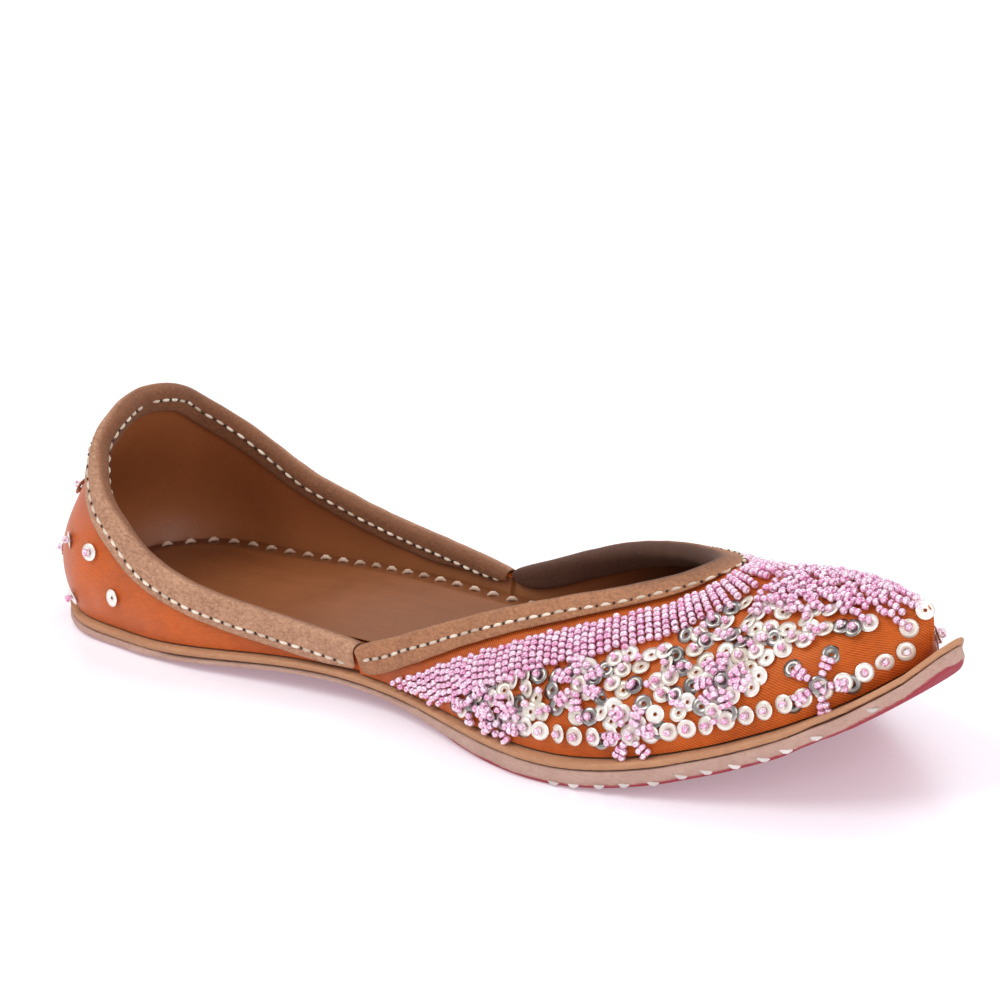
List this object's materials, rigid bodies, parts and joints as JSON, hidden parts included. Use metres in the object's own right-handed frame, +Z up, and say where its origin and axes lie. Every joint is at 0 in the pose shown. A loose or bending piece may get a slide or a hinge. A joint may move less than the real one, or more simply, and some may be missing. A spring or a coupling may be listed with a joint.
{
  "type": "embroidered slip-on shoe",
  "caption": "Flat slip-on shoe with a pointed, turned-up toe, a low cut side, a leather-bound collar and a beaded vamp.",
  "frame": {"origin": "centre of the shoe's box in plan, at the floor that the sole stands on", "axes": "+X to the toe, +Y to the side away from the viewer of the picture, +Z up"},
  "size_m": [0.2564, 0.083, 0.0526],
  "materials": {
    "outsole": "matt, cut edge",
    "midsole": "matt",
    "insole": "satin",
    "upper": "satin twill",
    "binding": "suede",
    "beads": "glossy"
  },
  "bodies": {
    "root": {"outsole": "outsole", "midsole": "midsole", "insole": "insole", "upper": "upper", "quarter_binding": "binding", "vamp_binding": "binding", "bead_band": "beads"}
  },
  "joints": []
}
